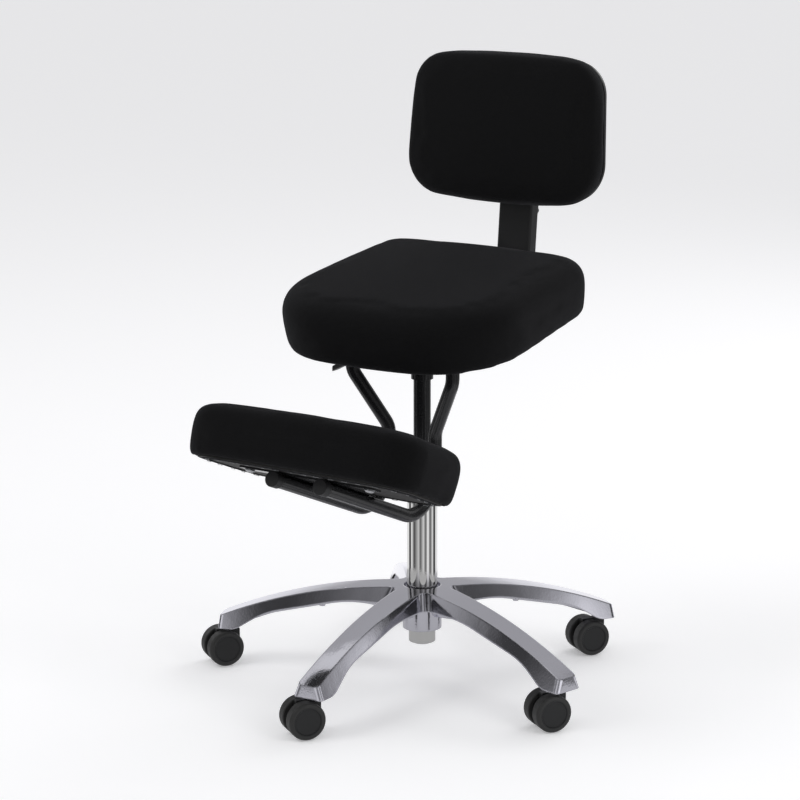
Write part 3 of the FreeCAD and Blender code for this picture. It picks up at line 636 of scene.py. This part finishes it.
def board_outline(node, slope, count):
    """Points round a board's edge, with the board's middle, its normal and its faces' heights."""
    outside = 0.6
    board = frame["nodes"][node]
    normal = Vector((0, -math.sin(slope), math.cos(slope)))
    along = Vector((0, math.cos(slope), math.sin(slope)))
    heights = [normal.dot(v.co) for v in board.data.vertices]
    low, high = min(heights), max(heights)
    spans = [along.dot(v.co) for v in board.data.vertices]
    sides = [v.co.x for v in board.data.vertices]
    middle = Vector(((min(sides) + max(sides)) / 2, 0, 0)) + along * ((min(spans) + max(spans)) / 2)
    centre = middle + normal * ((low + high) / 2)
    points = []
    for step in range(count):
        turn = 2 * math.pi * step / count
        way = Vector((1, 0, 0)) * math.cos(turn) + along * math.sin(turn)
        hit, place, _normal, _face = board.ray_cast(centre + way * outside, -way)
        if not hit:
            raise RuntimeError("no edge found on " + node)
        points.append(place - normal * normal.dot(place))
    return points, middle, normal, low, high


def hem(node, name, slope):
    """The cover's edge, drawn over the board's rim and turned under it."""
    count = 180
    thick = 0.0011
    above = 0.0015
    depth = 0.0019
    sink = 0.0004
    proud = 0.0003
    gather = 0.0016
    ripple = 0.0003
    fabric = bpy.context.scene.chair_fabric
    points, middle, normal, low, high = board_outline(node, slope, count)
    deselect()
    bpy.ops.mesh.primitive_circle_add(vertices=count, radius=0.2)
    piece = bpy.context.object
    piece.name = name
    settle(piece)
    for vertex in piece.data.vertices:
        turn = math.atan2(vertex.co.y, vertex.co.x) / (2 * math.pi) * count
        vertex.co = points[round(turn) % count] + normal * (high + above)
    rim = middle + normal * low
    edit(piece, "SELECT")
    drop = -normal * (high - low + depth)
    bpy.ops.mesh.select_mode(type="EDGE")
    bpy.ops.mesh.select_all(action="SELECT")
    bpy.ops.mesh.extrude_edges_move(TRANSFORM_OT_translate={"value": drop})
    bpy.ops.mesh.extrude_edges_move(TRANSFORM_OT_translate={"value": (0, 0, 0)})
    reach = max((point - middle).length for point in points)
    share = 1.0 - fabric.hem / reach
    bpy.ops.transform.resize(value=(share, share, share), center_override=rim - normal * sink)
    done()
    for index, vertex in enumerate(piece.data.vertices):
        height = normal.dot(vertex.co)
        out = vertex.co - middle - normal * (height - normal.dot(middle))
        if out.length < 0.001:
            continue
        turn = math.atan2(out.y, out.x)
        if index >= 2 * count:
            vertex.co += out.normalized() * gather * math.sin(23 * turn + 2.0 * math.sin(5 * turn))
            vertex.co -= normal * ripple * (1 + math.sin(41 * turn))
        else:
            vertex.co += out.normalized() * proud
    face = max(piece.data.polygons, key=lambda f: abs(f.normal.dot(normal)))
    outwards = face.normal.dot(normal) < 0
    wall = piece.modifiers.new("cloth", "SOLIDIFY")
    wall.thickness = thick
    wall.offset = 1.0 if outwards else -1.0
    finer = piece.modifiers.new("finer", "SUBSURF")
    finer.levels = finer.render_levels = 1
    apply_modifiers(piece)
    edit(piece, "SELECT")
    bpy.ops.mesh.normals_make_consistent(inside=False)
    done()
    smooth(piece, 40)
    dress(piece, "seat", "black_fabric")
    return points, middle, normal, low


def staples(name, points, middle, normal, low):
    """Flat wire staples along a hem, each a little askew."""
    wire = (0.0100, 0.0012, 0.0007)
    leg = 0.0012
    under = 0.0022
    inwards = 0.52
    askew = 0.16
    fabric = bpy.context.scene.chair_fabric
    deselect()
    bpy.ops.mesh.primitive_cube_add(size=1.0)
    first = bpy.context.object
    first.scale = wire
    settle(first)
    edit(first, "SELECT")
    bpy.ops.mesh.bevel(offset=0.0002, segments=1, affect="EDGES")
    done()
    edit(first)
    pick(first, lambda centre, way: way.z < -0.9 and abs(centre.x) < 0.0001)
    bpy.ops.mesh.subdivide(number_cuts=8)
    pick(first, lambda centre, way: way.z < -0.9 and abs(centre.x) > 0.0040)
    bpy.ops.mesh.extrude_region_move(TRANSFORM_OT_translate={"value": (0, 0, -leg)})
    done()
    made = []
    length = sum((points[i] - points[i - 1]).length for i in range(len(points)))
    total = int(length / fabric.staple_pitch)
    walked, wanted = 0.0, 0.0
    for index in range(len(points)):
        here, after = points[index], points[(index + 1) % len(points)]
        walked += (after - here).length
        if walked < wanted or len(made) >= total:
            continue
        wanted += fabric.staple_pitch
        out = (here - middle).normalized()
        along = (after - here).normalized()
        along = (along + out * (askew * math.sin(7.3 * len(made)))).normalized()
        place = here - out * (fabric.hem * inwards) + normal * (low - under)
        down = -normal
        side = down.cross(along).normalized()
        copy = bpy.data.objects.new("staple", first.data.copy())
        bpy.context.collection.objects.link(copy)
        copy.data.transform(Matrix((along, side, down)).transposed().to_4x4())
        copy.data.transform(Matrix.Translation(place))
        made.append(copy)
    bpy.data.objects.remove(first)
    whole = join(made, name)
    dress(whole, "seat", "zinc_steel")


class CHAIR_OT_hems(bpy.types.Operator):
    """Turns the covers under the seat's and the shin pad's boards and staples them"""

    bl_idname = "chair.hems"
    bl_label = "Hems and staples"

    def execute(self, context):
        for node, word, slope in (("seat_board", "seat", SEAT_SLOPE), ("shin_board", "shin", SHIN_SLOPE)):
            found = hem(node, word + "_hem", slope)
            staples(word + "_staples", *found)
        return {"FINISHED"}


class CHAIR_OT_paddle(bpy.types.Operator):
    """Moulds the height lever's paddle: a drooping tab with a raised rim"""

    bl_idname = "chair.paddle"
    bl_label = "Lever paddle"

    def execute(self, context):
        length, width, thick = 0.046, 0.026, 0.008
        droop = 0.018
        rim_height = 0.0018
        over_rod = 0.004
        below_top = 0.014
        nose, nose_length, blunt = 0.8, 0.2, 0.8
        widening = 2.2
        reach = 0.92
        low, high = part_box("lever_paddle")
        low, high = Vector(low), Vector(high)
        deselect()
        bpy.ops.mesh.primitive_grid_add(x_subdivisions=16, y_subdivisions=8, size=1.0)
        piece = context.object
        piece.name = "lever_tab"
        piece.scale = (length, width, 1.0)
        settle(piece)
        edit(piece, "SELECT")
        bpy.ops.mesh.extrude_region_move(TRANSFORM_OT_translate={"value": (0, 0, thick)})
        done()
        root = Vector((high.x - over_rod, (low.y + high.y) / 2, high.z - below_top))
        for vertex in piece.data.vertices:
            out = min(max(vertex.co.x / length + 0.5, 0.0), 1.0)
            side = vertex.co.y / (width / 2)
            flare = 0.5 + 0.5 * min(1.0, widening * out)
            past_nose = max(0.0, (out - nose) / nose_length)
            narrow = flare * math.sqrt(max(0.0, 1.0 - past_nose ** 2 * blunt))
            rim = rim_height * abs(side) ** 3 * out
            lift = vertex.co.z - thick / 2 + (rim if vertex.co.z > thick / 2 else 0.0)
            drop = droop * out ** 1.4
            place = Vector((-length * out * reach, side * width / 2 * narrow, lift - drop))
            vertex.co = root + place
        round_off = piece.modifiers.new("soft", "SUBSURF")
        round_off.levels = round_off.render_levels = 2
        apply_modifiers(piece)
        edit(piece, "SELECT")
        bpy.ops.mesh.normals_make_consistent(inside=False)
        done()
        only(piece)
        bpy.ops.object.shade_smooth()
        dress(piece, "lever", "black_plastic", "lever_paddle")
        return {"FINISHED"}


class CHAIR_OT_stage(bpy.types.Operator):
    """Sets the floor, the lights and the camera"""

    bl_idname = "chair.stage"
    bl_label = "Stage"

    def execute(self, context):
        studio = context.scene.chair_studio
        self.floor(studio)
        self.surround(studio)
        for name, place, size, power in LIGHTS:
            lamp = bpy.data.lights.new(name, "AREA")
            lamp.shape = "RECTANGLE"
            lamp.size, lamp.size_y = size
            lamp.energy = power * studio.power
            holder = bpy.data.objects.new(name, lamp)
            holder.location = place
            aim = Vector((0, 0, 0.5)) - Vector(place)
            holder.rotation_euler = aim.to_track_quat("-Z", "Y").to_euler()
            bpy.context.collection.objects.link(holder)
        self.world(studio)
        view = bpy.data.cameras.new("camera")
        view.sensor_fit = "HORIZONTAL"
        view.sensor_width = 36.0
        view.lens = studio.lens
        view.shift_x, view.shift_y = CAMERA_SHIFT
        view.clip_end = 100.0
        camera = bpy.data.objects.new("camera", view)
        camera.location = studio.place
        camera.rotation_euler = (math.pi / 2 - studio.tilt, 0.0, studio.azimuth)
        bpy.context.collection.objects.link(camera)
        context.scene.camera = camera
        context.scene.view_settings.view_transform = "Standard"
        return {"FINISHED"}

    def floor(self, studio):
        """A plain pale floor that glows a little; what mirrors it shows it darker than it is, a painted
        shadow standing in for the chair's shade on the floor.
        """
        mirrored_shadow_grey = (0.3, 0.3, 0.31, 1.0)
        mirrored_shadow_share = 0.7
        deselect()
        bpy.ops.mesh.primitive_plane_add(size=40.0, location=(0, 0, -0.0005))
        floor = bpy.context.object
        floor.name = "studio_floor"
        settle(floor)
        material = bpy.data.materials.new("studio_floor")
        material.use_nodes = True
        shader = material.node_tree.nodes["Principled BSDF"]
        shader.inputs["Base Color"].default_value = (*studio.floor, 1.0)
        shader.inputs["Roughness"].default_value = 0.75
        shader.inputs["Specular IOR Level"].default_value = 0.1
        shader.inputs["Emission Color"].default_value = (*studio.floor, 1.0)
        shader.inputs["Emission Strength"].default_value = studio.glow
        tree = material.node_tree
        # Painted shadow: glossy rays see a dark grey glow mixed in instead of the floor's own light.
        path = tree.nodes.new("ShaderNodeLightPath")
        painted_shade = tree.nodes.new("ShaderNodeEmission")
        painted_shade.inputs["Color"].default_value = mirrored_shadow_grey
        mix = tree.nodes.new("ShaderNodeMixShader")
        glossy = maths(tree, "MULTIPLY", path.outputs["Is Glossy Ray"], mirrored_shadow_share)
        tree.links.new(glossy, mix.inputs[0])
        tree.links.new(shader.outputs[0], mix.inputs[1])
        tree.links.new(painted_shade.outputs[0], mix.inputs[2])
        tree.links.new(mix.outputs[0], tree.nodes["Material Output"].inputs["Surface"])
        floor.data.materials.append(material)

    def surround(self, studio):
        """Light and dark cards round the chair, which show only in what mirrors them."""
        radius, height = 0.62, 0.9
        deselect()
        bpy.ops.mesh.primitive_cylinder_add(vertices=96, radius=radius, depth=height,
                                            end_fill_type="NOTHING", location=(0, 0, height / 2))
        ring = bpy.context.object
        ring.name = "studio_cards"
        settle(ring)
        material = bpy.data.materials.new("studio_cards")
        material.use_nodes = True
        tree = material.node_tree
        shader = tree.nodes["Principled BSDF"]
        shader.inputs["Base Color"].default_value = (0.0, 0.0, 0.0, 1.0)
        shader.inputs["Specular IOR Level"].default_value = 0.0
        shader.inputs["Emission Strength"].default_value = 1.0
        where = tree.nodes.new("ShaderNodeTexCoord")
        turned = tree.nodes.new("ShaderNodeVectorRotate")
        turned.rotation_type = "Z_AXIS"
        turned.inputs["Angle"].default_value = math.pi / 2 - studio.azimuth
        tree.links.new(where.outputs["Object"], turned.inputs["Vector"])
        split = tree.nodes.new("ShaderNodeSeparateXYZ")
        tree.links.new(turned.outputs[0], split.inputs[0])
        turn = maths(tree, "ARCTAN2", split.outputs[1], split.outputs[0])
        bands = ramp(tree, [((angle + 180) / 360, value) for angle, value in CARDS])
        tree.links.new(maths(tree, "MULTIPLY_ADD", turn, 0.5 / math.pi, 0.5), bands.inputs[0])
        fall = ramp(tree, CARD_FALL)
        tree.links.new(split.outputs[2], fall.inputs[0])
        blend = tree.nodes.new("ShaderNodeMix")
        blend.data_type = "RGBA"
        blend.blend_type = "MULTIPLY"
        blend.inputs[0].default_value = 1.0
        tree.links.new(bands.outputs[0], blend.inputs[6])
        tree.links.new(fall.outputs[0], blend.inputs[7])
        tree.links.new(blend.outputs[2], shader.inputs["Emission Color"])
        ring.data.materials.append(material)
        ring.visible_camera = False
        ring.visible_diffuse = False
        ring.visible_shadow = False
        ring.visible_transmission = False

    def world(self, studio):
        """White behind the chair, and a bright soft room above it."""
        world = bpy.data.worlds.new("studio")
        world.use_nodes = True
        bpy.context.scene.world = world
        tree = world.node_tree
        tree.nodes.clear()
        out = tree.nodes.new("ShaderNodeOutputWorld")
        seen = tree.nodes.new("ShaderNodeBackground")
        seen.inputs["Color"].default_value = (1.0, 1.0, 1.0, 1.0)
        room = tree.nodes.new("ShaderNodeBackground")
        room.inputs["Strength"].default_value = studio.room
        path = tree.nodes.new("ShaderNodeLightPath")
        mix = tree.nodes.new("ShaderNodeMixShader")
        tree.links.new(path.outputs["Is Camera Ray"], mix.inputs[0])
        tree.links.new(room.outputs[0], mix.inputs[1])
        tree.links.new(seen.outputs[0], mix.inputs[2])
        tree.links.new(mix.outputs[0], out.inputs["Surface"])
        where = tree.nodes.new("ShaderNodeTexCoord")
        split = tree.nodes.new("ShaderNodeSeparateXYZ")
        tree.links.new(where.outputs["Generated"], split.inputs[0])
        height = ramp(tree, ROOM_GREYS)
        tree.links.new(maths(tree, "MULTIPLY_ADD", split.outputs[2], 0.5, 0.5), height.inputs[0])
        tree.links.new(height.outputs[0], room.inputs["Color"])


class CHAIR_PT_panel(bpy.types.Panel):
    """Lists the steps and the sizes in the sidebar"""

    bl_label = "Kneeling chair"
    bl_idname = "CHAIR_PT_panel"
    bl_space_type = "VIEW_3D"
    bl_region_type = "UI"
    bl_category = "Chair"

    def draw(self, context):
        for operator in STEPS:
            self.layout.operator(operator.bl_idname)
        for group in ("chair_fabric", "chair_metal", "chair_plastic", "chair_studio"):
            box = self.layout.box()
            values = getattr(context.scene, group)
            for name in values.__annotations__:
                box.prop(values, name)


STEPS = (CHAIR_OT_finishes, CHAIR_OT_cushions, CHAIR_OT_hems, CHAIR_OT_paddle, CHAIR_OT_stage)
GROUPS = (ChairFabric, ChairMetal, ChairPlastic, ChairStudio)


def register():
    for item in GROUPS + STEPS + (CHAIR_PT_panel,):
        bpy.utils.register_class(item)
    bpy.types.Scene.chair_fabric = PointerProperty(type=ChairFabric)
    bpy.types.Scene.chair_metal = PointerProperty(type=ChairMetal)
    bpy.types.Scene.chair_plastic = PointerProperty(type=ChairPlastic)
    bpy.types.Scene.chair_studio = PointerProperty(type=ChairStudio)


def unregister():
    del bpy.types.Scene.chair_studio
    del bpy.types.Scene.chair_plastic
    del bpy.types.Scene.chair_metal
    del bpy.types.Scene.chair_fabric
    for item in reversed(GROUPS + STEPS + (CHAIR_PT_panel,)):
        bpy.utils.unregister_class(item)


def main():
    register()
    bpy.ops.chair.finishes()
    bpy.ops.chair.cushions()
    bpy.ops.chair.hems()
    bpy.ops.chair.paddle()
    bpy.ops.chair.stage()


if __name__ == "__main__":
    main()
